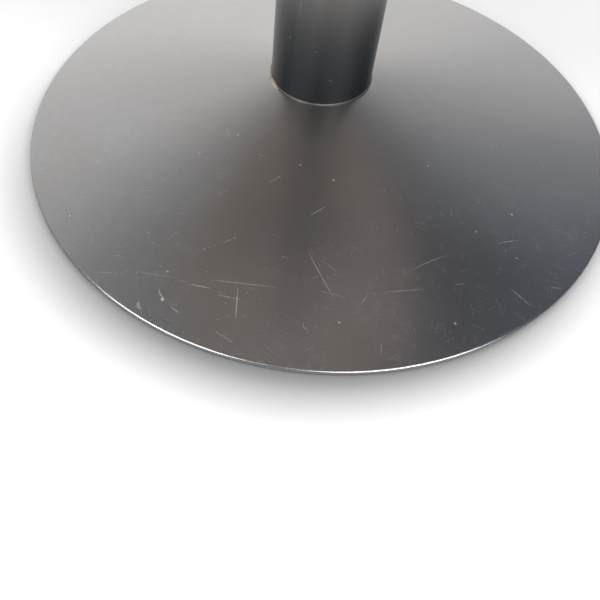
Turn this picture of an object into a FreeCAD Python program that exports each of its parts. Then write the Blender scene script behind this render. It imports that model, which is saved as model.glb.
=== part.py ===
import FreeCAD, Part
import math
import os
from FreeCAD import Vector

# Round pedestal table: a spun steel foot over a cast ballast, one tube column, a steel cross and a veneered
# round top. Millimetres, +Z up, origin on the floor under the column's centre.

# Overall sizes
table_height = 740.0
top_diameter = 700.0
foot_diameter = 485.0
column_diameter = 80.0
seat_height = 58.0  # floor to the flat crown of the foot cover, where the column stands
rim_height = 5.5  # floor to the middle of the foot cover's rolled edge

# Table top
board_thickness = 24.0
veneer_thickness = 0.8
edge_band_width = 4.0
edge_band_round = 2.5
insert_length = 14.0
insert_radius = 4.6
insert_sink = 0.5  # how far an insert nut lies below the board's underside
insert_clearance = 0.05

# Steel cross under the top
cross_thickness = 5.0
arm_reach = 205.0
arm_root_width = 64.0
arm_tip_width = 34.0
cross_disc_diameter = 120.0
cross_edge_round = 0.8
arm_count = 4
screw_circles = (115.0, 188.0)  # radii of the two screws in each arm
cross_hole_clearance = 0.4

# M6 screws that hold the top
screw_thread = 6.0
screw_engagement = 11.0
screw_head_diameter = 11.0
screw_head_height = 3.6
screw_socket_width = 4.0
screw_socket_depth = 2.2
screw_crown_share = 0.6  # of the head's height and radius, left by its domed edge
washer_diameter = 12.5
washer_thickness = 1.6
screw_clearance = 0.05

# Column
column_wall = 3.0
plug_thickness = 10.0
plug_clearance = 0.1
collar_height = 20.0
collar_wall = 4.0
collar_clearance = 0.2
gasket_thickness = 1.2
gasket_proud = 0.8  # how far the gasket shows outside the column
gasket_width = 10.0

# M12 tie rod, with its nuts and washer
rod_thread = 12.0
rod_hole_clearance = 0.5
nut_flats = 18.0
nut_height = 10.8
rod_end = 3.0  # length of rod past each nut
foot_washer_diameter = 40.0
foot_washer_thickness = 4.0
spring_washer_diameter = 21.0
spring_washer_thickness = 2.5
spring_washer_split = 1.0
thread_clearance = 0.05
nut_pocket_diameter = 50.0
nut_pocket_cover = 2.0  # from the ballast's underside up to the rod's end

# Foot cover
cover_sheet = 1.5
edge_roll = 2.4  # outer radius of the edge, rolled under
hem_width = 8.0
crown_margin = 1.5  # flat crown outside the column
crown_bend = 1.0
crown_hole_diameter = 30.0

# Ballast casting
ballast_inset = 52.0
ballast_gap = 1.5  # between the casting and the cover
web_thickness = 10.0
hub_diameter = 150.0
ring_width = 48.0
rib_count = 6
rib_width = 9.0
rib_set_back = 2.0
cast_round = 2.0
pad_count = 6
pad_angle = 14.0
pad_width = 20.0
pad_inset = 4.0

# Locating pins between the ballast, the cover and the column
pin_diameter = 6.0
pin_inset = 13.0  # from the column's bore to the pins' centres
pin_depth = 7.0
pin_clearance = 0.05

# Levelling glides
glide_count = 4
glide_inset = 17.0
glide_thread = 8.0
glide_pad_diameter = 30.0
glide_pad_thickness = 4.5
glide_pad_round = 1.5
glide_hex_flats = 17.0
glide_hex_height = 5.0
glide_stop_gap = 0.3  # left between a glide that is screwed right in and the casting
stud_socket_depth = 3.5
stud_clearance = 0.05
stud_tip_gap = 0.8

# Heights and radii that follow from the sizes above
foot_radius = foot_diameter / 2
column_radius = column_diameter / 2
column_bore = column_radius - column_wall
crown_radius = column_radius + crown_margin
column_bottom = seat_height + gasket_thickness
top_underside = table_height - board_thickness - 2 * veneer_thickness
cross_underside = top_underside - cross_thickness
board_bottom = top_underside + veneer_thickness
board_top = board_bottom + board_thickness
board_radius = top_diameter / 2 - edge_band_width
rod_hole = rod_thread / 2 + rod_hole_clearance
pin_circle = column_bore - pin_inset
ballast_radius = foot_radius - ballast_inset
ballast_bottom = glide_pad_thickness + glide_hex_height + glide_stop_gap
glide_circle = ballast_radius - glide_inset
rod_bottom = ballast_bottom + nut_pocket_cover
foot_nut_bottom = rod_bottom + rod_end
spring_washer_bottom = foot_nut_bottom + nut_height
foot_washer_bottom = spring_washer_bottom + spring_washer_thickness
nut_pocket_top = foot_washer_bottom + foot_washer_thickness
weld_nut_bottom = cross_underside - nut_height
rod_top = cross_underside + rod_end

# The cover's cone runs from the crown's corner and is tangent to the rolled edge
hem_centre = foot_radius - edge_roll
cone_run = hem_centre - crown_radius
cone_drop = seat_height - rim_height
cone_angle = math.acos(edge_roll / math.hypot(cone_run, cone_drop)) - math.atan2(cone_run, cone_drop)


def cone_height(radius, depth=0.0):
    """Height at a radius of the surface that lies depth below the cover's outer cone, square to it."""
    return seat_height - (radius - crown_radius) * math.tan(cone_angle) - depth / math.cos(cone_angle)


def cone_radius(height, depth=0.0):
    """Radius where that surface has the given height."""
    return crown_radius + (seat_height - depth / math.cos(cone_angle) - height) / math.tan(cone_angle)


def outline(corners):
    """Closed wire in the XZ plane through (x, z) or (x, z, round) corners, each round one a tangent arc."""
    points = [Vector(c[0], 0, c[1]) for c in corners]
    edges = []
    ends = []
    for i, corner in enumerate(corners):
        here = points[i]
        if len(corner) < 3:
            ends.append((here, None, here))
            continue
        back = (points[i - 1] - here).normalize()
        ahead = (points[(i + 1) % len(points)] - here).normalize()
        half = back.getAngle(ahead) / 2
        reach = corner[2] / math.tan(half)
        inward = (back + ahead).normalize()
        middle = here + inward * (corner[2] / math.sin(half) - corner[2])
        ends.append((here + back * reach, middle, here + ahead * reach))
    for i, (start, middle, end) in enumerate(ends):
        if middle is not None:
            edges.append(Part.Arc(start, middle, end).toShape())
        following = ends[(i + 1) % len(ends)][0]
        if end.distanceToPoint(following) > 1e-6:
            edges.append(Part.LineSegment(end, following).toShape())
    return Part.Wire(edges)


def turned(wire, angle=360.0):
    """Solid of revolution about Z."""
    return Part.Face(wire).revolve(Vector(0, 0, 0), Vector(0, 0, 1), angle)


def rod(radius, bottom, top, x=0.0, y=0.0):
    return Part.makeCylinder(radius, top - bottom, Vector(x, y, bottom))


def ring(outer, inner, bottom, top, x=0.0, y=0.0):
    return rod(outer, bottom, top, x, y).cut(rod(inner, bottom - 1, top + 1, x, y))


def hexagon(flats, bottom, top, x=0.0, y=0.0):
    """Six-sided prism measured across its flats."""
    reach = flats / math.sqrt(3)
    corners = []
    for i in range(7):
        turn = math.radians(60 * i)
        corners.append(Vector(x + reach * math.cos(turn), y + reach * math.sin(turn), bottom))
    return Part.Face(Part.makePolygon(corners)).extrude(Vector(0, 0, top - bottom))


def spun_copies(shape, count, start=0.0):
    """Copies of a shape, evenly spaced about Z."""
    copies = []
    for i in range(count):
        copy = shape.copy()
        copy.rotate(Vector(0, 0, 0), Vector(0, 0, 1), start + 360.0 * i / count)
        copies.append(copy)
    return copies


def at_circle(radius, angle):
    turn = math.radians(angle)
    return radius * math.cos(turn), radius * math.sin(turn)


def screw_places():
    return [at_circle(radius, 360.0 * i / arm_count) for i in range(arm_count) for radius in screw_circles]


def glide_places():
    first = 180.0 / glide_count
    return [at_circle(glide_circle, first + 360.0 * i / glide_count) for i in range(glide_count)]


def pin_places():
    return [at_circle(pin_circle, 90.0), at_circle(pin_circle, 270.0)]


def cut_all(shape, tools):
    for tool in tools:
        shape = shape.cut(tool)
    return shape


def save(name, shapes):
    """Writes one sub-part, which may be several separate solids."""
    solids = [solid for shape in shapes for solid in shape.Solids]
    whole = solids[0] if len(solids) == 1 else Part.makeCompound(solids)
    whole.exportStep(os.path.join("parts", name + ".step"))
    volume = sum(solid.Volume for solid in solids)
    print(f"{name}: {len(solids)} solid(s), {volume / 1000:.1f} cm3, valid {whole.isValid()}")


# ---- table top ----


def make_board():
    board = rod(board_radius, board_bottom, board_top)
    hole_top = top_underside + insert_sink + insert_length + insert_clearance
    hole = insert_radius + insert_clearance
    return cut_all(board, [rod(hole, board_bottom - 1, hole_top, x, y) for x, y in screw_places()])


def make_underside_veneer():
    sheet = rod(board_radius, top_underside, board_bottom)
    hole = insert_radius + insert_clearance
    return cut_all(sheet, [rod(hole, top_underside - 1, board_bottom + 1, x, y) for x, y in screw_places()])


def make_top_veneer():
    return rod(board_radius, board_top, table_height)


def make_edge_band():
    outside = top_diameter / 2
    return turned(outline([
        (board_radius, top_underside),
        (outside, top_underside, edge_band_round),
        (outside, table_height, edge_band_round),
        (board_radius, table_height),
    ]))


def make_insert_nuts():
    bottom = top_underside + insert_sink
    bore = screw_thread / 2 + screw_clearance
    return [ring(insert_radius, bore, bottom, bottom + insert_length, x, y) for x, y in screw_places()]


# ---- steel cross ----


def make_cross():
    top = cross_underside + cross_thickness
    cross = rod(cross_disc_diameter / 2, cross_underside, top)
    arm_end = arm_reach - arm_tip_width / 2
    corners = [
        Vector(0, -arm_root_width / 2, cross_underside),
        Vector(arm_end, -arm_tip_width / 2, cross_underside),
        Vector(arm_end, arm_tip_width / 2, cross_underside),
        Vector(0, arm_root_width / 2, cross_underside),
        Vector(0, -arm_root_width / 2, cross_underside),
    ]
    arm = Part.Face(Part.makePolygon(corners)).extrude(Vector(0, 0, cross_thickness))
    arm = arm.fuse(rod(arm_tip_width / 2, cross_underside, top, arm_end))
    for copy in spun_copies(arm, arm_count):
        cross = cross.fuse(copy)
    cross = cross.removeSplitter()
    lower = [e for e in cross.Edges if abs(e.BoundBox.ZMax - cross_underside) < 1e-6]
    cross = cross.makeFillet(cross_edge_round, lower)
    hole = screw_thread / 2 + cross_hole_clearance
    tools = [rod(hole, cross_underside - 1, top + 1, x, y) for x, y in screw_places()]
    tools.append(rod(rod_hole, cross_underside - 1, top + 1))
    return cut_all(cross, tools)


def make_collar():
    outer = column_bore - collar_clearance
    return turned(outline([
        (outer - collar_wall, cross_underside - collar_height),
        (outer, cross_underside - collar_height, collar_wall / 4),
        (outer, cross_underside),
        (outer - collar_wall, cross_underside),
    ]))


def make_weld_nut():
    nut = hexagon(nut_flats, weld_nut_bottom, cross_underside)
    return nut.cut(rod(rod_thread / 2 + thread_clearance, weld_nut_bottom - 1, cross_underside + 1))


def make_top_screws():
    head_top = cross_underside - washer_thickness
    head_bottom = head_top - screw_head_height
    head_radius = screw_head_diameter / 2
    crown = screw_head_height * screw_crown_share
    tip = top_underside + insert_sink + screw_engagement
    head = turned(outline([
        (0, head_bottom),
        (head_radius * screw_crown_share, head_bottom),
        (head_radius, head_bottom + crown, crown / 2),
        (head_radius, head_top),
        (0, head_top),
    ]))
    screw = head.fuse(rod(screw_thread / 2, head_top, tip)).removeSplitter()
    screw = screw.cut(hexagon(screw_socket_width, head_bottom - 1, head_bottom + screw_socket_depth))
    screws = []
    for x, y in screw_places():
        copy = screw.copy()
        copy.translate(Vector(x, y, 0))
        screws.append(copy)
    return screws


def make_screw_washers():
    bottom = cross_underside - washer_thickness
    hole = screw_thread / 2 + cross_hole_clearance
    return [ring(washer_diameter / 2, hole, bottom, cross_underside, x, y) for x, y in screw_places()]


# ---- column ----


def make_column():
    return ring(column_radius, column_bore, column_bottom, cross_underside)


def make_bottom_plug():
    plug = ring(column_bore - plug_clearance, rod_hole, column_bottom, column_bottom + plug_thickness)
    hole = pin_diameter / 2 + pin_clearance
    return cut_all(plug, [rod(hole, column_bottom - 1, column_bottom + pin_depth, x, y) for x, y in pin_places()])


def make_gasket():
    outer = column_radius + gasket_proud
    return turned(outline([
        (outer - gasket_width, seat_height),
        (outer, seat_height, gasket_thickness / 4),
        (outer, column_bottom, gasket_thickness / 4),
        (outer - gasket_width, column_bottom),
    ]))


def make_tie_rod():
    threaded = rod(rod_thread / 2, rod_bottom, rod_top)
    ends = [e for e in threaded.Edges if e.Closed]
    return threaded.makeChamfer(rod_thread / 12, ends)


def make_foot_nut():
    nut = hexagon(nut_flats, foot_nut_bottom, spring_washer_bottom)
    return nut.cut(rod(rod_thread / 2 + thread_clearance, foot_nut_bottom - 1, spring_washer_bottom + 1))


def make_spring_washer():
    """Split ring, shown flattened by the nut."""
    washer = ring(spring_washer_diameter / 2, rod_hole, spring_washer_bottom, foot_washer_bottom)
    split = Part.makeBox(spring_washer_diameter, spring_washer_split, spring_washer_thickness + 2)
    split.translate(Vector(0, -spring_washer_split / 2, spring_washer_bottom - 1))
    return washer.cut(split)


def make_foot_washer():
    return ring(foot_washer_diameter / 2, rod_hole, foot_washer_bottom, nut_pocket_top)


# ---- foot ----


def make_foot_cover():
    """Spun cone with a flat crown, its outer edge rolled under into a hem."""
    along = Vector(math.cos(cone_angle), 0, -math.sin(cone_angle))
    out = Vector(math.sin(cone_angle), 0, math.cos(cone_angle))
    centre = Vector(hem_centre, 0, rim_height)
    inner_roll = edge_roll - cover_sheet
    edge_top = centre + out * edge_roll
    edge_bottom = centre - out * edge_roll
    inner_edge_top = centre + out * inner_roll
    inner_edge_bottom = centre - out * inner_roll
    hem_bottom = edge_bottom - along * hem_width
    hem_top = inner_edge_bottom - along * hem_width
    under_crown = seat_height - cover_sheet
    inner_corner = Vector(cone_radius(under_crown, cover_sheet), 0, under_crown)
    hole = crown_hole_diameter / 2
    bend_half = cone_angle / 2
    bend_reach = crown_bend * math.tan(bend_half)
    crown_end = Vector(crown_radius - bend_reach, 0, seat_height)
    corner = Vector(crown_radius, 0, seat_height)
    bend_out = Vector(math.sin(bend_half), 0, math.cos(bend_half))
    bend_middle = corner - bend_out * (crown_bend / math.cos(bend_half) - crown_bend)
    cone_start = corner + along * bend_reach
    inner_top = Vector(hole, 0, under_crown)
    outer_top = Vector(hole, 0, seat_height)
    edges = [
        Part.LineSegment(outer_top, crown_end),
        Part.Arc(crown_end, bend_middle, cone_start),
        Part.LineSegment(cone_start, edge_top),
        Part.Arc(edge_top, centre + along * edge_roll, edge_bottom),
        Part.LineSegment(edge_bottom, hem_bottom),
        Part.LineSegment(hem_bottom, hem_top),
        Part.LineSegment(hem_top, inner_edge_bottom),
        Part.Arc(inner_edge_bottom, centre + along * inner_roll, inner_edge_top),
        Part.LineSegment(inner_edge_top, inner_corner),
        Part.LineSegment(inner_corner, inner_top),
        Part.LineSegment(inner_top, outer_top),
    ]
    cover = turned(Part.Wire([edge.toShape() for edge in edges]))
    hole_radius = pin_diameter / 2 + pin_clearance
    return cut_all(cover, [rod(hole_radius, under_crown - 1, seat_height + 1, x, y) for x, y in pin_places()])


def ballast_envelope(foot):
    """Outline corners of the casting's outside, from the hub's top round to the rim, down to a foot height."""
    depth = cover_sheet + ballast_gap
    hub_top = seat_height - cover_sheet
    return [
        (0, foot),
        (ballast_radius, foot),
        (ballast_radius, cone_height(ballast_radius, depth), cast_round),
        (cone_radius(hub_top, depth), hub_top),
        (0, hub_top),
    ]


def make_ballast():
    """Cast cone, hollowed below between the hub and the outer ring, with ribs across the hollow."""
    depth = cover_sheet + ballast_gap + web_thickness
    hub = hub_diameter / 2
    ring_inner = ballast_radius - ring_width
    casting = turned(outline(ballast_envelope(ballast_bottom)))
    hollow = turned(outline([
        (hub, ballast_bottom - 1),
        (hub, cone_height(hub, depth), cast_round),
        (ring_inner, cone_height(ring_inner, depth), cast_round),
        (ring_inner, ballast_bottom - 1),
    ]))
    rib_bottom = ballast_bottom + rib_set_back
    rib = Part.makeBox(ring_inner - hub + 2, rib_width, seat_height)
    rib.translate(Vector(hub - 1, -rib_width / 2, rib_bottom))
    for copy in spun_copies(rib, rib_count):
        hollow = hollow.cut(copy)
    casting = casting.cut(hollow)
    hub_top = seat_height - cover_sheet
    tools = [rod(rod_hole, ballast_bottom - 1, hub_top + 1)]
    tools.append(rod(nut_pocket_diameter / 2, ballast_bottom - 1, nut_pocket_top))
    pin_hole = pin_diameter / 2 + pin_clearance
    tools += [rod(pin_hole, hub_top - pin_depth, hub_top + 1, x, y) for x, y in pin_places()]
    stud_hole = glide_thread / 2 + stud_clearance
    tools += [rod(stud_hole, ballast_bottom - 1, seat_height, x, y) for x, y in glide_places()]
    return cut_all(casting, tools)


def make_cover_pads():
    """Foam pads that keep the cover from ringing on the casting."""
    outer = ballast_radius - pad_inset
    inner = outer - pad_width
    upper = cover_sheet
    lower = upper + ballast_gap
    pad = turned(outline([
        (inner, cone_height(inner, lower)),
        (outer, cone_height(outer, lower)),
        (outer, cone_height(outer, upper)),
        (inner, cone_height(inner, upper)),
    ]), pad_angle)
    return spun_copies(pad, pad_count, -pad_angle / 2)


def make_locating_pins():
    bottom = seat_height - cover_sheet - pin_depth + pin_clearance
    top = column_bottom + pin_depth - pin_clearance
    pins = [rod(pin_diameter / 2, bottom, top, x, y) for x, y in pin_places()]
    return [pin.makeChamfer(pin_diameter / 10, [e for e in pin.Edges if e.Closed]) for pin in pins]


# ---- levelling glides ----


def stud_top():
    """The studs end just under the cover."""
    outer = glide_circle + glide_thread / 2
    return cone_height(outer, cover_sheet) - stud_tip_gap


def make_glide_stud(x, y):
    bottom = glide_pad_thickness + glide_hex_height - stud_socket_depth
    stud = rod(glide_thread / 2, bottom, stud_top(), x, y)
    return stud.makeChamfer(glide_thread / 12, [e for e in stud.Edges if e.Closed])


def make_glide_pad(x, y):
    radius = glide_pad_diameter / 2
    pad = turned(outline([
        (0, 0),
        (radius, 0, glide_pad_round / 2),
        (radius, glide_pad_thickness, glide_pad_round),
        (0, glide_pad_thickness),
    ]))
    hex_top = glide_pad_thickness + glide_hex_height
    pad = pad.fuse(hexagon(glide_hex_flats, glide_pad_thickness, hex_top)).removeSplitter()
    socket = rod(glide_thread / 2 + stud_clearance, hex_top - stud_socket_depth, hex_top + 1)
    pad = pad.cut(socket)
    pad.translate(Vector(x, y, 0))
    return pad


def main():
    os.makedirs("parts", exist_ok=True)
    print(f"cone angle {math.degrees(cone_angle):.2f} degrees, column {cross_underside - column_bottom:.1f} long")
    save("top_board", [make_board()])
    save("top_veneer", [make_top_veneer()])
    save("underside_veneer", [make_underside_veneer()])
    save("edge_band", [make_edge_band()])
    save("insert_nuts", make_insert_nuts())
    save("steel_cross", [make_cross()])
    save("centring_collar", [make_collar()])
    save("weld_nut", [make_weld_nut()])
    save("top_screws", make_top_screws())
    save("screw_washers", make_screw_washers())
    save("column_tube", [make_column()])
    save("column_bottom_plug", [make_bottom_plug()])
    save("column_gasket", [make_gasket()])
    save("tie_rod", [make_tie_rod()])
    save("foot_nut", [make_foot_nut()])
    save("spring_washer", [make_spring_washer()])
    save("foot_washer", [make_foot_washer()])
    save("foot_cover", [make_foot_cover()])
    save("ballast_casting", [make_ballast()])
    save("cover_pads", make_cover_pads())
    save("locating_pins", make_locating_pins())
    for i, (x, y) in enumerate(glide_places(), 1):
        save(f"glide_stud_{i}", [make_glide_stud(x, y)])
        save(f"glide_pad_{i}", [make_glide_pad(x, y)])


main()
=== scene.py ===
import bpy
import math
import random
from mathutils import Matrix, Vector


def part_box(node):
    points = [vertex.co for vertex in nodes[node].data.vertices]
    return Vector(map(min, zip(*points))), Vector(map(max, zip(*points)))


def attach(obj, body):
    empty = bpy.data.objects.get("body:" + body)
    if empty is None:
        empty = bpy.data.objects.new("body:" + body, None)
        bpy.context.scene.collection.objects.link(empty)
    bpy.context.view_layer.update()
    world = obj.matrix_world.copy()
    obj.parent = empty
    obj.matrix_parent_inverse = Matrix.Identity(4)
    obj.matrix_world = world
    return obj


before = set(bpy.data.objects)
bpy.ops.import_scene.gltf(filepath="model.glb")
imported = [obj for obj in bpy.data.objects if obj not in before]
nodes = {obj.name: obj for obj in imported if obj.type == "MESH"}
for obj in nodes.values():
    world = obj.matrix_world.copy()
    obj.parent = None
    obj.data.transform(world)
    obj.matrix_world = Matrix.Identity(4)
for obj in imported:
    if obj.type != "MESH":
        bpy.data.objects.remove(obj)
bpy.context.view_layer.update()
print("frame loaded:", len(nodes), "CAD nodes")


def addNode(tree, kind, settings=None, inputs=None):
    node = tree.nodes.new("ShaderNode" + kind)
    for key, value in (settings or {}).items():
        setattr(node, key, value)
    for key, value in (inputs or {}).items():
        if isinstance(value, bpy.types.NodeSocket):
            tree.links.new(value, node.inputs[key])
        else:
            node.inputs[key].default_value = value
    return node


def doMath(tree, operation, first, second=0.0, third=0.0):
    inputs = {0: first, 1: second}
    if operation == "MULTIPLY_ADD":
        inputs[2] = third
    return addNode(tree, "Math", {"operation": operation}, inputs).outputs[0]


def fade(tree, value, low, high, outLow=0.0, outHigh=1.0):
    # smooth step from low to high
    return addNode(tree, "MapRange", {"interpolation_type": "SMOOTHSTEP"},
                   {"Value": value, "From Min": low, "From Max": high,
                    "To Min": outLow, "To Max": outHigh}).outputs["Result"]


def mixColour(tree, factor, first, second, blend="MIX"):
    node = addNode(tree, "Mix", {"data_type": "RGBA", "blend_type": blend}, {"Factor": factor})
    for socket, value in ((node.inputs[6], first), (node.inputs[7], second)):
        if isinstance(value, bpy.types.NodeSocket):
            tree.links.new(value, socket)
        else:
            socket.default_value = (*value, 1) if len(value) == 3 else value
    return node.outputs[2]


def multiplyGrey(tree, colour, grey):
    grey = addNode(tree, "CombineColor", inputs={0: grey, 1: grey, 2: grey}).outputs[0]
    return mixColour(tree, 1.0, colour, grey, "MULTIPLY")


def newMaterial(name, baseColour=(0.5, 0.5, 0.5), metallic=0.0, roughness=0.5, **sockets):
    material = bpy.data.materials.new(name)
    material.use_nodes = True
    tree = material.node_tree
    shader = tree.nodes["Principled BSDF"]
    shader.inputs["Base Color"].default_value = (*baseColour, 1)
    shader.inputs["Metallic"].default_value = metallic
    shader.inputs["Roughness"].default_value = roughness
    for key, value in sockets.items():
        shader.inputs[key].default_value = value
    return material, tree, shader


def dress(nodeName, material):
    mesh = nodes[nodeName].data
    mesh.materials.clear()
    mesh.materials.append(material)


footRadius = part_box("foot_cover")[1].x
rimHeight = 0.0055      # the camera's height is counted from here

cameraView = {
    "lens": 40.42,
    "sensor": 36.0,
    "back": 1.861,       # distances in foot radii, from the column's axis and up from the rim
    "up": 1.627,
    "yaw": -9.39,
    "pitch": 52.46,
    "roll": 0.15,
    "shift": (0.118, -0.080),
}


def makeCamera(view):
    data = bpy.data.cameras.new("camera")
    data.lens = view["lens"]
    data.sensor_width = view["sensor"]
    data.shift_x, data.shift_y = view["shift"]
    data.clip_start = 0.01
    camera = bpy.data.objects.new("camera", data)
    bpy.context.scene.collection.objects.link(camera)
    yaw, pitch, roll = (math.radians(view[key]) for key in ("yaw", "pitch", "roll"))
    ahead = Vector((math.sin(yaw) * math.cos(pitch), math.cos(yaw) * math.cos(pitch), -math.sin(pitch)))
    right = Vector((math.cos(yaw), -math.sin(yaw), 0))
    up = right.cross(ahead)
    right, up = right * math.cos(roll) + up * math.sin(roll), up * math.cos(roll) - right * math.sin(roll)
    turned = Matrix((right, up, -ahead)).transposed().to_4x4()
    place = Vector((0, -view["back"] * footRadius, view["up"] * footRadius + rimHeight))
    camera.matrix_world = Matrix.Translation(place) @ turned
    bpy.context.scene.camera = camera
    print("camera at", [round(v, 3) for v in place])


makeCamera(cameraView)


room = {
    "brightTurn": -155,         # the brightest wall, from the front towards +X
    "walls": [(0.38, (0.10, 0.11, 0.135)), (0.54, (0.128, 0.138, 0.165)), (0.67, (0.31, 0.32, 0.34)),
              (0.79, (0.56, 0.56, 0.57)), (0.91, (0.74, 0.73, 0.72)), (1.0, (0.88, 0.86, 0.85))],
    "frontWall": (0.25, 0.25, 0.26),
    "lowGain": 1.42,            # the walls near the floor
    "ceilingGain": 0.3,
}


def makeWorld(view):
    world = bpy.data.worlds.new("studio")
    bpy.context.scene.world = world
    world.use_nodes = True
    tree = world.node_tree
    tree.nodes.clear()
    direction = addNode(tree, "TexCoord").outputs["Generated"]
    parts = addNode(tree, "SeparateXYZ", inputs={0: direction})
    brightTurn = math.radians(view["brightTurn"])
    towards = (math.sin(brightTurn), -math.cos(brightTurn), 0)
    flat = addNode(tree, "VectorMath", {"operation": "MULTIPLY"}, {0: direction, 1: (1, 1, 0)}).outputs[0]
    flat = addNode(tree, "VectorMath", {"operation": "NORMALIZE"}, {0: flat}).outputs[0]
    facing = addNode(tree, "VectorMath", {"operation": "DOT_PRODUCT"},
                     {0: flat, 1: towards}).outputs["Value"]
    walls = addNode(tree, "ValToRGB")
    walls.color_ramp.interpolation = "EASE"
    tree.links.new(doMath(tree, "MULTIPLY_ADD", facing, 0.5, 0.5), walls.inputs[0])
    ramp = walls.color_ramp.elements
    while len(ramp) < len(view["walls"]):
        ramp.new(0.5)
    for element, (place, colour) in zip(ramp, view["walls"]):
        element.position = place
        element.color = (*colour, 1)
    front = fade(tree, parts.outputs["Y"], -0.55, 0.15, 1.0, 0.0)
    colour = mixColour(tree, front, walls.outputs[0], view["frontWall"])
    low = fade(tree, parts.outputs["Z"], 0.10, 0.50, view["lowGain"], 1.0)
    high = fade(tree, parts.outputs["Z"], 0.56, 0.95, 1.0, view["ceilingGain"])
    level = doMath(tree, "MULTIPLY", low, high)
    colour = multiplyGrey(tree, colour, level)
    output = addNode(tree, "OutputWorld")
    background = addNode(tree, "Background", inputs={"Color": colour, "Strength": 1.0})
    tree.links.new(background.outputs[0], output.inputs[0])


def makeLight(name, turn, height, distance, size, power, mirrored=True):
    # a soft box on a circle round the table, facing the foot; metal shows it only where mirrored
    data = bpy.data.lights.new(name, "AREA")
    data.shape = "RECTANGLE"
    data.size, data.size_y = size
    data.energy = power
    light = bpy.data.objects.new(name, data)
    light.visible_glossy = mirrored
    bpy.context.scene.collection.objects.link(light)
    angle, rise = math.radians(turn), math.radians(height)
    outwards = Vector((math.sin(angle) * math.cos(rise), -math.cos(angle) * math.cos(rise), math.sin(rise)))
    place = outwards * distance
    aim = Vector((0, 0, 0.1)) - place
    light.matrix_world = Matrix.Translation(place) @ aim.to_track_quat("-Z", "Y").to_matrix().to_4x4()


floorShade = {
    "size": 24,
    "albedo": 0.86,
    "inside": -0.012,       # the shadow starts under the rim and ends this far outside it
    "outside": 0.048,
    "rightCut": 0.025,      # how much sooner it ends on the right
    "turn": -5,             # the side where it is deepest, from the front towards +X
    "middle": 0.15,         # its depth at the sides, and how much that swings to the deepest side
    "swing": 0.56,
    "least": 0.1,
}


def makeFloor(view):
    bpy.ops.object.select_all(action="DESELECT")
    bpy.ops.mesh.primitive_plane_add(size=view["size"], location=(0, 0, 0))
    floor = bpy.context.object
    floor.name = "floor"
    albedo = (view["albedo"],) * 3
    material, tree, shader = newMaterial("pale_floor", albedo, roughness=0.9)
    point = addNode(tree, "TexCoord").outputs["Object"]
    flat = addNode(tree, "VectorMath", {"operation": "MULTIPLY"}, {0: point, 1: (1, 1, 0)}).outputs[0]
    away = addNode(tree, "VectorMath", {"operation": "LENGTH"}, {0: flat}).outputs["Value"]
    gap = doMath(tree, "SUBTRACT", away, footRadius)
    side = addNode(tree, "VectorMath", {"operation": "NORMALIZE"}, {0: flat}).outputs[0]
    turn = math.radians(view["turn"])
    facing = addNode(tree, "VectorMath", {"operation": "DOT_PRODUCT"},
                     {0: side, 1: (math.sin(turn), -math.cos(turn), 0)}).outputs["Value"]
    depth = doMath(tree, "MULTIPLY_ADD", facing, view["swing"], view["middle"])
    depth = doMath(tree, "MAXIMUM", depth, view["least"])
    right = doMath(tree, "MAXIMUM", addNode(tree, "SeparateXYZ", inputs={0: side}).outputs[0], 0.0)
    end = doMath(tree, "MULTIPLY_ADD", right, -view["rightCut"], view["outside"])
    dark = doMath(tree, "SUBTRACT", 1.0, fade(tree, gap, view["inside"], end))
    shade = doMath(tree, "SUBTRACT", 1.0, doMath(tree, "MULTIPLY", dark, depth))
    tree.links.new(mixColour(tree, shade, (0, 0, 0), albedo), shader.inputs["Base Color"])
    floor.data.materials.append(material)


makeWorld(room)
makeFloor(floorShade)
makeLight("front_left", -43, 42, 2.2, (1.5, 0.9), 28)
makeLight("front_right", 40, 42, 2.2, (1.6, 0.9), 29)
makeLight("back_left_wash", -135, 32, 2.4, (1.4, 1.4), 9, mirrored=False)
makeLight("back_right_wash", 135, 32, 2.4, (1.4, 1.4), 14, mirrored=False)
print("room ready")

bpy.context.scene.view_settings.view_transform = "Standard"


def newGroup(name, inputs, outputs):
    group = bpy.data.node_groups.new(name, "ShaderNodeTree")
    for label, kind, value in inputs:
        socket = group.interface.new_socket(label, in_out="INPUT", socket_type="NodeSocket" + kind)
        if value is not None:
            socket.default_value = value
    for label, kind in outputs:
        group.interface.new_socket(label, in_out="OUTPUT", socket_type="NodeSocket" + kind)
    return group, group.nodes.new("NodeGroupInput").outputs, group.nodes.new("NodeGroupOutput").inputs


def useGroup(tree, group, inputs):
    node = tree.nodes.new("ShaderNodeGroup")
    node.node_tree = group
    for key, value in inputs.items():
        if isinstance(value, bpy.types.NodeSocket):
            tree.links.new(value, node.inputs[key])
        else:
            node.inputs[key].default_value = value
    return node.outputs


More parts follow.
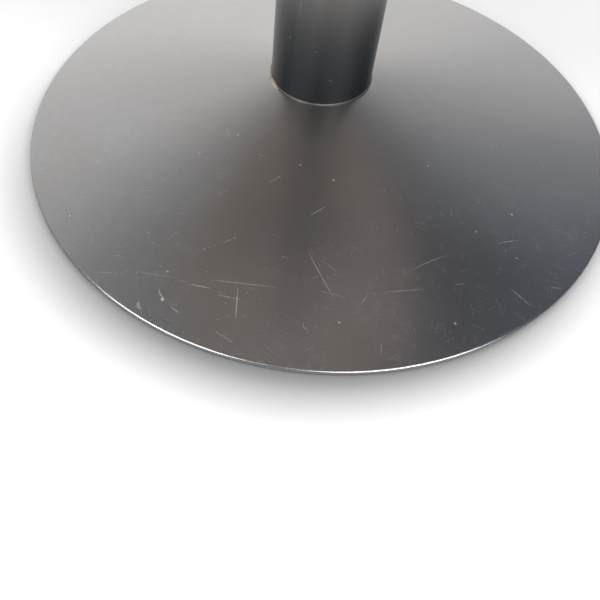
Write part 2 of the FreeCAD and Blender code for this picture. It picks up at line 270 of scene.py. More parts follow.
def makeScratchMark():
    # one scratch over those Below: Place is its middle, Turn its direction, Size its half length and width
    group, given, result = newGroup("scratchMark",
        [("Vector", "Vector", None), ("Below", "Float", 0.0), ("Place", "Vector", None),
         ("Turn", "Vector", None), ("Size", "Vector", (0.01, 0.0003, 1.0)), ("Bend", "Float", 0.0),
         ("Strength", "Float", 1.0)],
        [("Mask", "Float")])
    local = addNode(group, "Mapping", {"vector_type": "TEXTURE"},
                    {"Vector": given["Vector"], "Location": given["Place"],
                     "Rotation": given["Turn"], "Scale": given["Size"]}).outputs[0]
    parts = addNode(group, "SeparateXYZ", inputs={0: local})
    along = parts.outputs[0]
    square = doMath(group, "MULTIPLY", along, along)
    bow = doMath(group, "MULTIPLY", square, given["Bend"])
    across = doMath(group, "SUBTRACT", parts.outputs[1], bow)
    outwards = doMath(group, "MULTIPLY_ADD", across, across, square)
    lens = addNode(group, "Math", {"operation": "MULTIPLY_ADD", "use_clamp": True},
                   {0: outwards, 1: -1.4, 2: 1.4})     # full in the middle, nothing at the ends and sides
    mask = doMath(group, "MULTIPLY", lens.outputs[0], given["Strength"])
    group.links.new(doMath(group, "MAXIMUM", mask, given["Below"]), result["Mask"])
    return group


def makeWearBreaks():
    # stretches where a scratch is fainter, down to 0.55 of its strength
    group, given, result = newGroup("wearBreaks", [("Vector", "Vector", None), ("Scale", "Float", 420.0)],
                                    [("Mask", "Float")])
    gaps = addNode(group, "TexNoise", inputs={"Vector": given["Vector"], "Scale": given["Scale"],
                                              "Detail": 2.0}).outputs[0]
    group.links.new(fade(group, gaps, 0.30, 0.60, 0.55, 1.0), result["Mask"])
    return group


def makeScratchField():
    # many short scratches in one direction: Stretch is length over width, Keep the share that shows
    group, given, result = newGroup("scratchField",
        [("Vector", "Vector", None), ("Turn", "Vector", None), ("Scale", "Float", 24.0),
         ("Stretch", "Float", 20.0), ("Keep", "Float", 0.06), ("Width", "Float", 0.12)],
        [("Mask", "Float")])
    turned = addNode(group, "Mapping", {"vector_type": "POINT"},
                     {"Vector": given["Vector"], "Rotation": given["Turn"]}).outputs[0]
    stretch = addNode(group, "CombineXYZ", inputs={0: 1.0, 1: given["Stretch"], 2: 1.0}).outputs[0]
    stretched = addNode(group, "VectorMath", {"operation": "MULTIPLY"}, {0: turned, 1: stretch}).outputs[0]
    cells = addNode(group, "TexVoronoi", {"voronoi_dimensions": "2D"},
                    {"Vector": stretched, "Scale": given["Scale"]})
    line = addNode(group, "MapRange", {"interpolation_type": "SMOOTHSTEP"},
                   {"Value": cells.outputs["Distance"], "From Min": given["Width"],
                    "From Max": 0.0}).outputs["Result"]
    chance = addNode(group, "SeparateColor", inputs={0: cells.outputs["Color"]})
    kept = doMath(group, "LESS_THAN", chance.outputs[0], given["Keep"])
    uneven = doMath(group, "MULTIPLY_ADD", chance.outputs[1], 0.75, 0.25)
    mask = doMath(group, "MULTIPLY", doMath(group, "MULTIPLY", line, kept), uneven)
    group.links.new(mask, result["Mask"])
    return group


def makeDust():
    # loose specks, Keep is the share of cells that hold one
    group, given, result = newGroup("dust",
        [("Vector", "Vector", None), ("Scale", "Float", 260.0), ("Keep", "Float", 0.02),
         ("Size", "Float", 0.16)],
        [("Mask", "Float")])
    cells = addNode(group, "TexVoronoi", {"voronoi_dimensions": "3D"},
                    {"Vector": given["Vector"], "Scale": given["Scale"]})
    chance = addNode(group, "SeparateColor", inputs={0: cells.outputs["Color"]})
    kept = doMath(group, "LESS_THAN", chance.outputs[0], given["Keep"])
    speck = addNode(group, "MapRange", {"interpolation_type": "SMOOTHSTEP"},
                    {"Value": cells.outputs["Distance"], "From Min": given["Size"],
                     "From Max": 0.0}).outputs["Result"]
    group.links.new(doMath(group, "MULTIPLY", speck, kept), result["Mask"])
    return group


def makeSmudges():
    # broad uneven patches, from 0 to 1, with a finer second layer
    group, given, result = newGroup("smudges",
        [("Vector", "Vector", None), ("Scale", "Float", 12.0), ("Contrast", "Float", 0.18)],
        [("Broad", "Float"), ("Fine", "Float")])
    broad = addNode(group, "TexNoise", inputs={"Vector": given["Vector"], "Scale": given["Scale"],
                                               "Detail": 2.0, "Roughness": 0.45}).outputs[0]
    low = doMath(group, "SUBTRACT", 0.5, given["Contrast"])
    high = doMath(group, "ADD", 0.5, given["Contrast"])
    group.links.new(addNode(group, "MapRange", {"interpolation_type": "SMOOTHSTEP"},
                            {"Value": broad, "From Min": low, "From Max": high}).outputs["Result"],
                    result["Broad"])
    fineScale = doMath(group, "MULTIPLY", given["Scale"], 9.0)
    fine = addNode(group, "TexNoise", inputs={"Vector": given["Vector"], "Scale": fineScale,
                                              "Detail": 3.0, "Roughness": 0.6}).outputs[0]
    group.links.new(fine, result["Fine"])
    return group


def makeWoodGrain():
    # rings cut nearly along the trunk, with pores; the grain runs along the vector's X
    group, given, result = newGroup("woodGrain",
        [("Vector", "Vector", None), ("Rings", "Float", 90.0), ("Lean", "Float", 0.16),
         ("Seed", "Float", 0.0)],
        [("Rings", "Float"), ("Pores", "Float"), ("Fibre", "Float")])
    seed = addNode(group, "CombineXYZ", inputs={0: given["Seed"], 1: 0.0, 2: given["Seed"]}).outputs[0]
    moved = addNode(group, "VectorMath", {"operation": "ADD"}, {0: given["Vector"], 1: seed}).outputs[0]
    slow = addNode(group, "VectorMath", {"operation": "MULTIPLY"},
                   {0: moved, 1: (0.22, 1.0, 1.0)}).outputs[0]
    sway = addNode(group, "TexNoise", inputs={"Vector": slow, "Scale": 5.0, "Detail": 3.0,
                                              "Roughness": 0.45}).outputs["Color"]
    sway = addNode(group, "VectorMath", {"operation": "SUBTRACT"}, {0: sway, 1: (0.5, 0.5, 0.5)}).outputs[0]
    sway = addNode(group, "VectorMath", {"operation": "SCALE"}, {0: sway, "Scale": 0.085}).outputs[0]
    swayed = addNode(group, "VectorMath", {"operation": "ADD"}, {0: given["Vector"], 1: sway}).outputs[0]
    parts = addNode(group, "SeparateXYZ", inputs={0: swayed})
    depth = doMath(group, "MULTIPLY_ADD", parts.outputs[0], given["Lean"], 0.075)
    across = addNode(group, "CombineXYZ",
                     inputs={0: parts.outputs[1], 1: depth, 2: parts.outputs[2]}).outputs[0]
    radius = addNode(group, "VectorMath", {"operation": "LENGTH"}, {0: across}).outputs["Value"]
    turns = doMath(group, "MULTIPLY", radius, given["Rings"])
    saw = doMath(group, "FRACT", turns)
    rise = fade(group, saw, 0.0, 0.78)
    fall = fade(group, saw, 1.0, 0.88)
    group.links.new(doMath(group, "MULTIPLY", rise, fall), result["Rings"])
    fibreVector = addNode(group, "VectorMath", {"operation": "MULTIPLY"},
                          {0: moved, 1: (0.035, 1.0, 1.0)}).outputs[0]
    fibre = addNode(group, "TexNoise", inputs={"Vector": fibreVector, "Scale": 900.0, "Detail": 3.0,
                                               "Roughness": 0.55}).outputs[0]
    group.links.new(fibre, result["Fibre"])
    poreVector = addNode(group, "VectorMath", {"operation": "MULTIPLY"},
                         {0: moved, 1: (0.06, 1.0, 1.0)}).outputs[0]
    pores = addNode(group, "TexVoronoi", {"voronoi_dimensions": "3D"},
                    {"Vector": poreVector, "Scale": 620.0})
    chance = addNode(group, "SeparateColor", inputs={0: pores.outputs["Color"]})
    kept = doMath(group, "LESS_THAN", chance.outputs[0], 0.22)
    dots = fade(group, pores.outputs["Distance"], 0.34, 0.05)
    group.links.new(doMath(group, "MULTIPLY", dots, kept), result["Pores"])
    return group


def makeCastSkin():
    # sand-cast or sprayed skin: Grain is fine, Lumps coarse
    group, given, result = newGroup("castSkin",
        [("Vector", "Vector", None), ("Grain", "Float", 700.0), ("Lumps", "Float", 60.0),
         ("Share", "Float", 0.5)],
        [("Height", "Float"), ("Pits", "Float")])
    grain = addNode(group, "TexNoise", inputs={"Vector": given["Vector"], "Scale": given["Grain"],
                                               "Detail": 3.0, "Roughness": 0.6}).outputs[0]
    lumps = addNode(group, "TexNoise", inputs={"Vector": given["Vector"], "Scale": given["Lumps"],
                                               "Detail": 4.0, "Roughness": 0.55}).outputs[0]
    height = addNode(group, "Mix", {"data_type": "FLOAT"},
                     {"Factor": given["Share"], 2: grain, 3: lumps}).outputs[0]
    group.links.new(height, result["Height"])
    group.links.new(fade(group, lumps, 0.62, 0.74), result["Pits"])
    return group


scratchMark = makeScratchMark()
wearBreaks = makeWearBreaks()
scratchField = makeScratchField()
dust = makeDust()
smudges = makeSmudges()
woodGrain = makeWoodGrain()
castSkin = makeCastSkin()
print("shader groups ready")


def strongest(tree, masks):
    best = masks[0]
    for mask in masks[1:]:
        best = doMath(tree, "MAXIMUM", best, mask)
    return best


def objectPoint(tree):
    return addNode(tree, "TexCoord").outputs["Object"]


def addMark(tree, vector, below, place, turn, length, width, strength, bow=0.0):
    # sizes in mm, the turn in degrees
    return useGroup(tree, scratchMark, {
        "Vector": vector, "Below": below, "Place": (place[0] * 0.001, place[1] * 0.001, 0.0),
        "Turn": (0.0, 0.0, math.radians(turn)), "Size": (length * 0.0005, width * 0.0005, 1.0),
        "Bend": float(bow), "Strength": strength})[0]


def addBump(tree, shader, height, strength, distance):
    bump = addNode(tree, "Bump", inputs={"Height": height, "Strength": strength, "Distance": distance})
    tree.links.new(bump.outputs[0], shader.inputs["Normal"])


satinSteel = {
    "colour": (0.45, 0.447, 0.445),
    "roughness": 0.25,
    "roughnessSpread": 0.012,
    "scratchColour": (0.86, 0.84, 0.80),
    "chipColour": (0.75, 0.55, 0.42),
    "scratchStrength": 0.5,
    "sway": 0.003,              # how far the fine scratches bend from straight, in metres
    "chipStrength": 0.75,
    "film": (0.475, 0.485, 0.50),   # cooler patches, towards the front
    "rimShadeWidth": 0.0016,             # the rolled edge, painted darker: painted shade
    "rimShade": 0.6,
    # direction in degrees, scale, stretch and the share that shows
    "hairlines": ((8, 20, 90, 0.11), (-38, 24, 75, 0.09), (62, 28, 70, 0.09),
                  (31, 18, 100, 0.10), (-80, 34, 60, 0.08), (0, 70, 30, 0.07)),
    "hairlineWidth": 0.26,
    "hairlineStrength": 0.22,
}

# the plainest scratches, listed one by one: turn from the front in degrees towards +X, reach in shares
# of the foot's radius, length in mm, direction in degrees from +X, width in mm, strength, bow in half widths
boldScratches = [
    (-35, 0.95, 25, 0, 0.5, 0.45, 0), (-27, 0.87, 40, -5, 0.5, 0.5, 1), (-22, 0.85, 15, 0, 0.5, 0.45, 0),
    (-18, 0.84, 20, -5, 0.7, 0.95, 0), (-10, 0.79, 60, 0, 0.6, 0.7, 1), (8, 0.78, 30, -5, 0.5, 0.4, 0),
    (23, 0.79, 35, 15, 0.7, 0.6, -1), (-10, 0.85, 25, -85, 0.8, 1.0, 0), (-12, 0.84, 20, -5, 0.6, 0.8, 0),
    (6, 0.73, 45, -55, 0.7, 0.75, 1), (8, 0.7, 15, -30, 0.6, 0.4, 0), (5, 0.53, 15, 40, 0.7, 0.8, 0),
    (-12, 0.45, 15, 40, 0.7, 0.65, 0), (-27, 0.56, 20, 20, 0.6, 0.45, -1), (-17, 0.68, 15, 30, 0.6, 0.6, 1),
    (-21, 0.73, 25, 30, 0.5, 0.4, 0), (-10, 0.95, 25, -25, 0.7, 0.55, 0), (-24, 0.91, 10, -55, 1.0, 0.85, 3),
    (-20, 0.93, 10, -30, 0.9, 0.8, 0), (3, 0.88, 8, -55, 1.0, 0.55, 3), (31, 0.73, 40, 35, 0.6, 0.6, -4),
    (51, 0.79, 20, 25, 0.8, 0.7, -1), (44, 0.93, 20, -35, 0.7, 0.75, 0), (14, 0.81, 25, 60, 0.5, 0.4, 2),
    (17, 0.83, 20, 60, 0.5, 0.3, 1), (35, 0.82, 10, 20, 0.6, 0.5, 0), (16, 0.94, 10, 90, 0.6, 0.6, 0),
    (51, 0.97, 10, 5, 0.8, 0.6, 0), (-26, 0.97, 8, -60, 3.0, 0.5, 1),
]

# the foot's tan fleck, in the same way but without the bow
boldChips = [(-23, 0.92, 3, 0, 2.6, 1.0)]

# small marks strewn over the front of the foot, each range from low to high
strewn = {
    "seed": 11,
    "scratches": 18,
    "specks": 12,
    "turn": (-55, 60),
    "reach": (0.35, 0.95),
    "length": (6, 16),          # in mm, as is the width
    "strength": (0.25, 0.45),
    "speckWidth": (1.6, 2.2),
    "speckStrength": (0.5, 1.0),
}


def footPlace(turn, reach):
    # in mm from the column's axis
    angle, away = math.radians(turn), reach * footRadius * 1000
    return away * math.sin(angle), -away * math.cos(angle)


def strewMarks(view):
    draw = random.Random(view["seed"])
    scratches, specks = [], []
    for number in range(view["scratches"]):
        place = footPlace(draw.uniform(*view["turn"]), draw.uniform(*view["reach"]))
        scratches.append((place, draw.uniform(*view["length"]), draw.uniform(-90, 90), 0.5,
                          draw.uniform(*view["strength"]), draw.uniform(-1, 1)))
    for number in range(view["specks"]):
        place = footPlace(draw.uniform(*view["turn"]), draw.uniform(*view["reach"]))
        width = draw.uniform(*view["speckWidth"])
        specks.append((place, width, 0, width, draw.uniform(*view["speckStrength"])))
    return scratches, specks


def makeSatinSteel():
    material, tree, shader = newMaterial("dark_satin_steel", satinSteel["colour"], 1.0,
                                         satinSteel["roughness"])
    point = objectPoint(tree)
    parts = addNode(tree, "SeparateXYZ", inputs={0: point})
    flat = addNode(tree, "CombineXYZ", inputs={0: parts.outputs[0], 1: parts.outputs[1], 2: 0.0}).outputs[0]
    radius = addNode(tree, "VectorMath", {"operation": "LENGTH"}, {0: flat}).outputs["Value"]
    broken = useGroup(tree, wearBreaks, {"Vector": flat})[0]
    lines, chip = 0.0, 0.0
    scratches, specks = strewMarks(strewn)
    for turn, reach, *mark in boldScratches:
        scratches.append((footPlace(turn, reach), *mark))
    for turn, reach, *mark in boldChips:
        specks.append((footPlace(turn, reach), *mark))
    for place, length, lean, width, strength, bow in scratches:
        lines = addMark(tree, flat, lines, place, lean, length, width, strength, bow)
    for place, length, lean, width, strength in specks:
        chip = addMark(tree, flat, chip, place, lean, length, width, strength)
    lines = doMath(tree, "MULTIPLY", lines, doMath(tree, "MULTIPLY", broken, satinSteel["scratchStrength"]))
    chip = doMath(tree, "MULTIPLY", chip, satinSteel["chipStrength"])

    worn = doMath(tree, "MULTIPLY", fade(tree, radius, 0.07, 0.17),
                  fade(tree, parts.outputs[1], 0.02, -0.10))
    worn = doMath(tree, "MAXIMUM", worn, 0.08)
    sway = addNode(tree, "TexNoise", inputs={"Vector": flat, "Scale": 16.0, "Detail": 1.0}).outputs["Color"]
    sway = addNode(tree, "VectorMath", {"operation": "SCALE"},
                   {0: sway, "Scale": satinSteel["sway"]}).outputs[0]
    wandering = addNode(tree, "VectorMath", {"operation": "ADD"}, {0: flat, 1: sway}).outputs[0]
    fields = []
    for turn, scale, stretch, keep in satinSteel["hairlines"]:
        fields.append(useGroup(tree, scratchField, {
            "Vector": wandering, "Turn": (0.0, 0.0, math.radians(turn)), "Scale": float(scale),
            "Stretch": float(stretch), "Keep": keep, "Width": satinSteel["hairlineWidth"]})[0])
    strength = doMath(tree, "MULTIPLY", worn, satinSteel["hairlineStrength"])
    faint = doMath(tree, "MULTIPLY", strongest(tree, fields), strength)
    loose = useGroup(tree, dust, {"Vector": point, "Scale": 300.0, "Keep": 0.05, "Size": 0.2})[0]
    loose = doMath(tree, "MULTIPLY", loose, doMath(tree, "MULTIPLY_ADD", worn, 0.4, 0.12))
    lines = strongest(tree, [lines, faint, loose])
    handled = useGroup(tree, smudges, {"Vector": point, "Scale": 14.0, "Contrast": 0.24})
    tint = mixColour(tree, doMath(tree, "MULTIPLY", handled["Broad"], worn), satinSteel["colour"],
                     satinSteel["film"])
    grain = doMath(tree, "MULTIPLY_ADD", handled["Fine"], 0.10, 0.95)
    tint = multiplyGrey(tree, tint, grain)
    # painted shade: the rolled edge's colour is darkened towards the rim
    rimStart = footRadius - satinSteel["rimShadeWidth"]
    rim = fade(tree, radius, rimStart, rimStart + satinSteel["rimShadeWidth"] / 2, 1.0, satinSteel["rimShade"])
    tint = multiplyGrey(tree, tint, rim)
    colour = mixColour(tree, lines, tint, satinSteel["scratchColour"])
    colour = mixColour(tree, chip, colour, satinSteel["chipColour"])
    tree.links.new(colour, shader.inputs["Base Color"])
    bare = doMath(tree, "MAXIMUM", lines, chip)
    tree.links.new(doMath(tree, "MULTIPLY_ADD", bare, -0.55, 1.0), shader.inputs["Metallic"])
    rough = doMath(tree, "MULTIPLY_ADD", handled["Broad"], satinSteel["roughnessSpread"],
                   satinSteel["roughness"])
    rough = doMath(tree, "MULTIPLY_ADD", bare, 0.12, rough)
    tree.links.new(rough, shader.inputs["Roughness"])
    spun = addNode(tree, "TexNoise", {"noise_dimensions": "1D"},
                   {"W": radius, "Scale": 2600.0, "Detail": 2.0}).outputs[0]
    addBump(tree, shader, spun, 0.02, 0.0002)
    return material


dress("foot_cover", makeSatinSteel())
print("foot cover done")


tube = {
    "colour": (0.116, 0.123, 0.126),
    "litColour": (0.134, 0.126, 0.118),
    "roughness": 0.3,
    "scratchColour": (0.45, 0.46, 0.46),
    "shadeHeight": 0.11,        # painted shade darkens the tube below this height above the foot
    "shade": (0.66, 1.46),      # painted shade and light: colour factor at the foot and at the shade height
    "smudge": (0.108, 0.112, 0.116),
    "fields": ((84, 34, 0.06), (60, 40, 0.03), (12, 44, 0.02)),     # fine scratches: direction, scale, share
    "fieldStrength": 0.35,
}

# scratches on the column: turn round it from the front in degrees, height above the foot in mm,
# length, direction from the upright, width and strength
tubeScratches = [
    (-40, 50, 3, 4, 0.7, 0.8), (-8, 46, 4, 86, 0.5, 0.5), (-50, 36, 5, -35, 0.5, 0.45),
    (11, 22, 6, -62, 0.6, 0.7), (56, 45, 5, -20, 0.9, 0.7), (48, 39, 4, -35, 0.7, 0.4),
    (-30, 76, 14, 8, 0.6, 0.35), (24, 60, 9, 12, 0.4, 0.25), (38, 28, 8, 10, 0.4, 0.2),
]


def makeTubeSteel():
    material, tree, shader = newMaterial("dark_nickel_tube", tube["colour"], 1.0, tube["roughness"])
    point = objectPoint(tree)
    parts = addNode(tree, "SeparateXYZ", inputs={0: point})
    across = doMath(tree, "MULTIPLY", parts.outputs[1], -1.0)
    angle = doMath(tree, "ARCTAN2", parts.outputs[0], across)
    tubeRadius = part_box("column_tube")[1].x
    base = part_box("column_tube")[0].z
    unrolled = addNode(tree, "CombineXYZ", inputs={0: doMath(tree, "MULTIPLY", angle, tubeRadius),
                                                  1: parts.outputs[2], 2: 0.0}).outputs[0]
    broken = useGroup(tree, wearBreaks, {"Vector": unrolled})[0]
    lines = 0.0
    for turn, rise, length, lean, width, strength in tubeScratches:
        place = (math.radians(turn) * tubeRadius * 1000, base * 1000 + rise)
        lines = addMark(tree, unrolled, lines, place, 90 - lean, length, width, strength)
    marks = [doMath(tree, "MULTIPLY", lines, broken)]
    for turn, scale, keep in tube["fields"]:
        field = useGroup(tree, scratchField, {"Vector": unrolled, "Turn": (0.0, 0.0, math.radians(turn)),
                                              "Scale": float(scale), "Stretch": 24.0, "Keep": keep})[0]
        marks.append(doMath(tree, "MULTIPLY", field, tube["fieldStrength"]))
    lines = strongest(tree, marks)
    drawn = addNode(tree, "VectorMath", {"operation": "MULTIPLY"},
                    {0: unrolled, 1: (1.0, 0.02, 1.0)}).outputs[0]
    streaks = addNode(tree, "TexNoise", inputs={"Vector": drawn, "Scale": 110.0, "Detail": 2.0}).outputs[0]
    handled = useGroup(tree, smudges, {"Vector": point, "Scale": 16.0, "Contrast": 0.2})
    # painted light: the tube's colour turns lighter and warmer upwards
    above = fade(tree, parts.outputs[2], base + 0.02, base + tube["shadeHeight"])
    tint = mixColour(tree, above, tube["colour"], tube["litColour"])
    tint = mixColour(tree, doMath(tree, "MULTIPLY", handled["Broad"], 0.5), tint, tube["smudge"])
    shade = fade(tree, streaks, 0.3, 0.7, 0.96, 1.04)
    tint = multiplyGrey(tree, tint, shade)
    # painted shade near the foot, painted light up to the shade height
    rise = fade(tree, parts.outputs[2], base, base + tube["shadeHeight"], *tube["shade"])
    tint = multiplyGrey(tree, tint, rise)
    tree.links.new(mixColour(tree, lines, tint, tube["scratchColour"]), shader.inputs["Base Color"])
    rough = doMath(tree, "MULTIPLY_ADD", streaks, 0.03, tube["roughness"] - 0.015)
    tree.links.new(doMath(tree, "MULTIPLY_ADD", lines, 0.2, rough), shader.inputs["Roughness"])
    addBump(tree, shader, handled["Fine"], 0.02, 0.0002)
    return material


gasket = {
    "colour": (0.30, 0.285, 0.26),
    "grime": (0.11, 0.10, 0.09),
    "shadedSide": (0.075, 0.072, 0.07),       # painted shade, towards +X
}


def makeGasketPlastic(view):
    material, tree, shader = newMaterial("pale_gasket", view["colour"])
    point = objectPoint(tree)
    grime = useGroup(tree, smudges, {"Vector": point, "Scale": 60.0, "Contrast": 0.12})
    colour = mixColour(tree, grime["Broad"], view["colour"], view["grime"])
    side = addNode(tree, "SeparateXYZ", inputs={0: point}).outputs[0]
    # painted shade on the +X side of the gasket
    colour = mixColour(tree, fade(tree, side, -0.01, 0.028), colour, view["shadedSide"])
    tree.links.new(colour, shader.inputs["Base Color"])
    tree.links.new(doMath(tree, "MULTIPLY_ADD", grime["Fine"], 0.3, 0.25), shader.inputs["Roughness"])
    return material


sealant = {
    "from": -80,        # from the front, in degrees, towards -X
    "to": -50,
    "radius": 0.0015,
    "steps": 14,
    "colour": (0.52, 0.40, 0.29),
    "grime": (0.30, 0.22, 0.15),
}


def makeSealantBead(view):
    # a short squeezed-out bead beside the gasket, thickest in its middle
    low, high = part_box("column_gasket")
    ring = high.x + view["radius"] * 0.3
    start, end = (math.radians(view[key] - 90) for key in ("from", "to"))
    centre = (ring * math.cos(start), ring * math.sin(start), low.z)
    bpy.ops.object.select_all(action="DESELECT")
    bpy.ops.mesh.primitive_circle_add(vertices=12, radius=view["radius"], location=centre,
                                      rotation=(math.pi / 2, 0, start))
    bead = bpy.context.object
    bead.name = "sealant_bead"
    bpy.ops.object.transform_apply(location=True, rotation=True, scale=True)
    bpy.ops.object.mode_set(mode="EDIT")
    bpy.ops.mesh.select_all(action="SELECT")
    bpy.ops.mesh.spin(steps=view["steps"], angle=start - end, center=(0, 0, 0), axis=(0, 0, 1))
    bpy.ops.object.mode_set(mode="OBJECT")
    for step in range(view["steps"] + 1):
        turn = start + (end - start) * step / view["steps"]
        middle = Vector((ring * math.cos(turn), ring * math.sin(turn), low.z))
        along = Vector((-math.sin(turn), math.cos(turn), 0))
        share = math.sin(math.pi * (step + 0.4) / (view["steps"] + 0.8))
        swell = share ** 0.6 * (0.85 + 0.25 * math.sin(step * 2.3))
        bpy.ops.object.mode_set(mode="EDIT")
        bpy.ops.mesh.select_all(action="DESELECT")
        bpy.ops.object.mode_set(mode="OBJECT")
        for vertex in bead.data.vertices:
            vertex.select = abs((vertex.co - middle).dot(along)) < view["radius"] * 0.3
        bpy.ops.object.mode_set(mode="EDIT")
        bpy.ops.transform.resize(value=(swell, swell, swell * 0.8), center_override=middle)
        bpy.ops.object.mode_set(mode="OBJECT")
    bpy.ops.object.mode_set(mode="EDIT")
    bpy.ops.mesh.select_all(action="SELECT")
    bpy.ops.mesh.fill_holes(sides=0)
    bpy.ops.mesh.normals_make_consistent(inside=False)
    bpy.ops.object.mode_set(mode="OBJECT")
    bpy.ops.object.shade_smooth_by_angle(angle=math.radians(50))
    material, tree, shader = newMaterial("sealant", view["colour"], 0.0, 0.55)
    grime = useGroup(tree, smudges, {"Vector": objectPoint(tree), "Scale": 240.0, "Contrast": 0.15})
    colour = mixColour(tree, grime["Broad"], view["colour"], view["grime"])
    tree.links.new(colour, shader.inputs["Base Color"])
    addBump(tree, shader, grime["Fine"], 0.4, 0.0003)
    bead.data.materials.append(material)
    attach(bead, "table")


makeSealantBead(sealant)
dress("column_tube", makeTubeSteel())
dress("column_gasket", makeGasketPlastic(gasket))
print("column done")


veneer = {
    "leaf": 0.117,                       # width of one leaf; neighbours mirror each other
    "early": (0.235, 0.125, 0.068),
    "late": (0.085, 0.042, 0.024),
    "pore": (0.035, 0.018, 0.011),
    "leafStart": 3.5,                    # in leaves; the half puts a leaf's own middle on the table's
    "leafSlip": 0.013,                   # the grain's shift along X, one step for every two leaf widths
}


def woodMaterial(vector, tree, shader, early, late, pore, rings=80.0, lean=0.16, seed=0.0, gloss=0.34):
    grain = useGroup(tree, woodGrain, {"Vector": vector, "Rings": rings, "Lean": lean, "Seed": seed})
    broad = useGroup(tree, smudges, {"Vector": vector, "Scale": 7.0, "Contrast": 0.25})
    colour = mixColour(tree, grain["Rings"], early, late)
    warm = tuple(min(1.0, value * 1.25) for value in early)
    colour = mixColour(tree, doMath(tree, "MULTIPLY", broad["Broad"], 0.35), colour, warm)
    streak = fade(tree, grain["Fibre"], 0.3, 0.7, 0.8, 1.15)
    colour = multiplyGrey(tree, colour, streak)
    colour = mixColour(tree, doMath(tree, "MULTIPLY", grain["Pores"], 0.8), colour, pore)
    tree.links.new(colour, shader.inputs["Base Color"])
    rough = doMath(tree, "MULTIPLY_ADD", grain["Pores"], 0.2, gloss)
    rough = doMath(tree, "MULTIPLY_ADD", broad["Fine"], 0.08, rough)
    tree.links.new(rough, shader.inputs["Roughness"])
    fibre = doMath(tree, "MULTIPLY", grain["Fibre"], 0.25)
    height = doMath(tree, "MULTIPLY_ADD", grain["Pores"], -0.8, fibre)
    addBump(tree, shader, height, 0.25, 0.0003)


def makeTopVeneer():
    material, tree, shader = newMaterial("walnut_veneer", veneer["early"], 0.0, 0.34)
    shader.inputs["Coat Weight"].default_value = 0.25
    shader.inputs["Coat Roughness"].default_value = 0.22
    point = objectPoint(tree)
    parts = addNode(tree, "SeparateXYZ", inputs={0: point})
    counted = doMath(tree, "ADD", parts.outputs[1], veneer["leafStart"] * veneer["leaf"])
    mirrored = doMath(tree, "PINGPONG", counted, veneer["leaf"])
    leaf = doMath(tree, "FLOOR", doMath(tree, "DIVIDE", parts.outputs[1], 2 * veneer["leaf"]))
    shifted = doMath(tree, "MULTIPLY_ADD", leaf, veneer["leafSlip"], parts.outputs[0])
    vector = addNode(tree, "CombineXYZ", inputs={0: shifted, 1: mirrored, 2: 0.0}).outputs[0]
    woodMaterial(vector, tree, shader, veneer["early"], veneer["late"], veneer["pore"], 62.0, 0.13)
    return material


def makeEdgeBandWood():
    material, tree, shader = newMaterial("walnut_edge", veneer["early"], 0.0, 0.36)
    point = objectPoint(tree)
    parts = addNode(tree, "SeparateXYZ", inputs={0: point})
    angle = doMath(tree, "ARCTAN2", parts.outputs[1], parts.outputs[0])
    along = doMath(tree, "MULTIPLY", angle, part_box("edge_band")[1].x)
    vector = addNode(tree, "CombineXYZ", inputs={0: along, 1: parts.outputs[2], 2: 0.0}).outputs[0]
    woodMaterial(vector, tree, shader, veneer["early"], veneer["late"], veneer["pore"],
                 150.0, 0.02, 3.1, 0.36)
    return material


def makeUndersideWood():
    material, tree, shader = newMaterial("underside_veneer", (0.28, 0.235, 0.21), 0.0, 0.55)
    point = objectPoint(tree)
    turned = addNode(tree, "Mapping", inputs={"Vector": point, "Rotation": (0.0, 0.0, 0.06)}).outputs[0]
    woodMaterial(turned, tree, shader, (0.30, 0.25, 0.22), (0.235, 0.19, 0.165),
                 (0.15, 0.12, 0.10), 48.0, 0.10, 7.7, 0.5)
    return material


def makePlywood():
    material, tree, shader = newMaterial("plywood_core", (0.62, 0.47, 0.30), 0.0, 0.7)
    point = objectPoint(tree)
    parts = addNode(tree, "SeparateXYZ", inputs={0: point})
    ply = doMath(tree, "FRACT", doMath(tree, "MULTIPLY", parts.outputs[2], 350.0))
    cross = doMath(tree, "GREATER_THAN", ply, 0.5)
    grain = useGroup(tree, woodGrain, {"Vector": point, "Rings": 70.0, "Lean": 0.1, "Seed": 1.3})
    colour = mixColour(tree, cross, (0.64, 0.49, 0.32), (0.50, 0.36, 0.22))
    colour = mixColour(tree, doMath(tree, "MULTIPLY", grain["Rings"], 0.3), colour, (0.42, 0.29, 0.17))
    tree.links.new(colour, shader.inputs["Base Color"])
    addBump(tree, shader, grain["Fibre"], 0.2, 0.0004)
    return material


dress("top_veneer", makeTopVeneer())
dress("edge_band", makeEdgeBandWood())
dress("underside_veneer", makeUndersideWood())
dress("top_board", makePlywood())
print("top done")


def makePowderCoat():
    black = (0.028, 0.028, 0.03)
    material, tree, shader = newMaterial("black_powder_coat", black, 0.0, 0.42)
    point = objectPoint(tree)
    skin = useGroup(tree, castSkin, {"Vector": point, "Grain": 1400.0, "Lumps": 420.0, "Share": 0.6})
    specks = useGroup(tree, dust, {"Vector": point, "Scale": 320.0, "Keep": 0.03, "Size": 0.2})[0]
    tree.links.new(mixColour(tree, specks, black, (0.2, 0.19, 0.18)), shader.inputs["Base Color"])
    tree.links.new(doMath(tree, "MULTIPLY_ADD", skin["Height"], 0.2, 0.34), shader.inputs["Roughness"])
    addBump(tree, shader, skin["Height"], 0.35, 0.0004)
    return material


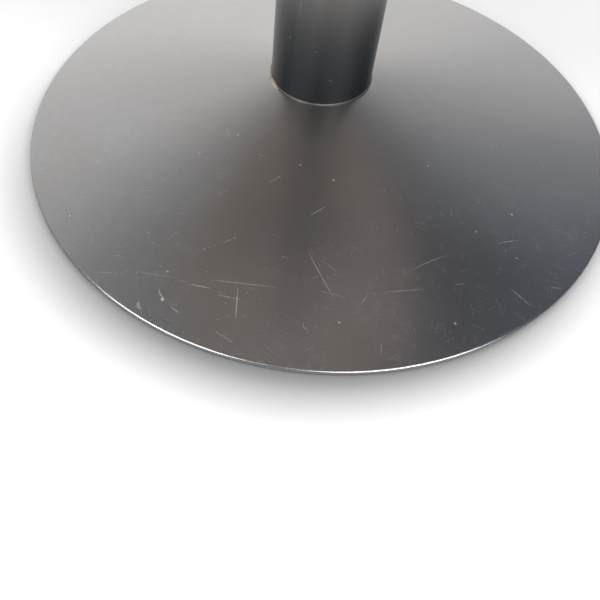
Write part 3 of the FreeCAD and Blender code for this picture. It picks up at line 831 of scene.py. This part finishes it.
def makeZinc(name, colour, tint, roughness):
    material, tree, shader = newMaterial(name, colour, 1.0, roughness)
    point = objectPoint(tree)
    film = useGroup(tree, smudges, {"Vector": point, "Scale": 90.0, "Contrast": 0.2})
    tree.links.new(mixColour(tree, film["Broad"], colour, tint), shader.inputs["Base Color"])
    rough = doMath(tree, "MULTIPLY_ADD", film["Fine"], 0.2, roughness - 0.08)
    tree.links.new(rough, shader.inputs["Roughness"])
    scuffs = useGroup(tree, scratchField, {"Vector": point, "Scale": 160.0, "Stretch": 12.0, "Keep": 0.2})[0]
    addBump(tree, shader, doMath(tree, "MULTIPLY_ADD", scuffs, -0.5, film["Fine"]), 0.15, 0.0002)
    return material


def makeCastIron():
    material, tree, shader = newMaterial("painted_cast_iron", (0.06, 0.06, 0.062), 0.0, 0.6)
    point = objectPoint(tree)
    skin = useGroup(tree, castSkin, {"Vector": point, "Grain": 520.0, "Lumps": 90.0, "Share": 0.45})
    rust = addNode(tree, "TexNoise", inputs={"Vector": point, "Scale": 34.0, "Detail": 6.0,
                                             "Roughness": 0.7}).outputs[0]
    rust = fade(tree, rust, 0.60, 0.68)
    colour = mixColour(tree, skin["Pits"], (0.058, 0.058, 0.06), (0.03, 0.03, 0.03))
    colour = mixColour(tree, doMath(tree, "MULTIPLY", rust, 0.7), colour, (0.16, 0.075, 0.035))
    tree.links.new(colour, shader.inputs["Base Color"])
    tree.links.new(doMath(tree, "MULTIPLY_ADD", rust, 0.25, 0.55), shader.inputs["Roughness"])
    addBump(tree, shader, skin["Height"], 0.6, 0.0012)
    return material


def makeFoam():
    material, tree, shader = newMaterial("foam_rubber", (0.05, 0.05, 0.05), 0.0, 0.9)
    point = objectPoint(tree)
    cells = addNode(tree, "TexVoronoi", inputs={"Vector": point, "Scale": 1100.0}).outputs["Distance"]
    tree.links.new(mixColour(tree, fade(tree, cells, 0.1, 0.5), (0.015, 0.015, 0.015), (0.07, 0.07, 0.07)),
                   shader.inputs["Base Color"])
    addBump(tree, shader, cells, 0.5, 0.0005)
    return material


def makeNylon():
    black = (0.045, 0.045, 0.047)
    material, tree, shader = newMaterial("glide_plastic", black, 0.0, 0.45)
    point = objectPoint(tree)
    scuffs = [useGroup(tree, scratchField, {"Vector": point, "Turn": (0.0, 0.0, turn), "Scale": 150.0,
                                            "Stretch": 14.0, "Keep": 0.35})[0] for turn in (0.3, 1.7)]
    parts = addNode(tree, "SeparateXYZ", inputs={0: point})
    sole = fade(tree, parts.outputs[2], 0.0012, 0.0)
    worn = doMath(tree, "MULTIPLY", strongest(tree, scuffs), doMath(tree, "MULTIPLY_ADD", sole, 0.7, 0.1))
    tree.links.new(mixColour(tree, worn, black, (0.26, 0.26, 0.25)), shader.inputs["Base Color"])
    tree.links.new(doMath(tree, "MULTIPLY_ADD", worn, 0.3, 0.42), shader.inputs["Roughness"])
    skin = useGroup(tree, castSkin, {"Vector": point, "Grain": 2200.0, "Lumps": 600.0, "Share": 0.3})
    addBump(tree, shader, skin["Height"], 0.2, 0.0002)
    return material


powderCoat = makePowderCoat()
zinc = makeZinc("zinc_plated_steel", (0.60, 0.61, 0.63), (0.66, 0.63, 0.55), 0.32)
plainSteel = makeZinc("plain_steel", (0.44, 0.43, 0.42), (0.34, 0.32, 0.30), 0.38)
brass = makeZinc("brass", (0.72, 0.53, 0.25), (0.58, 0.40, 0.19), 0.34)
castIron = makeCastIron()
foam = makeFoam()
nylon = makeNylon()
for name, material in (("steel_cross", powderCoat), ("centring_collar", powderCoat), ("weld_nut", zinc),
                       ("top_screws", zinc), ("screw_washers", zinc), ("tie_rod", zinc), ("foot_nut", zinc),
                       ("spring_washer", zinc), ("foot_washer", zinc), ("column_bottom_plug", plainSteel),
                       ("locating_pins", plainSteel), ("insert_nuts", brass), ("ballast_casting", castIron),
                       ("cover_pads", foam)):
    dress(name, material)
for number in range(1, 5):
    dress(f"glide_stud_{number}", zinc)
    dress(f"glide_pad_{number}", nylon)
print("fixings, casting and glides done")
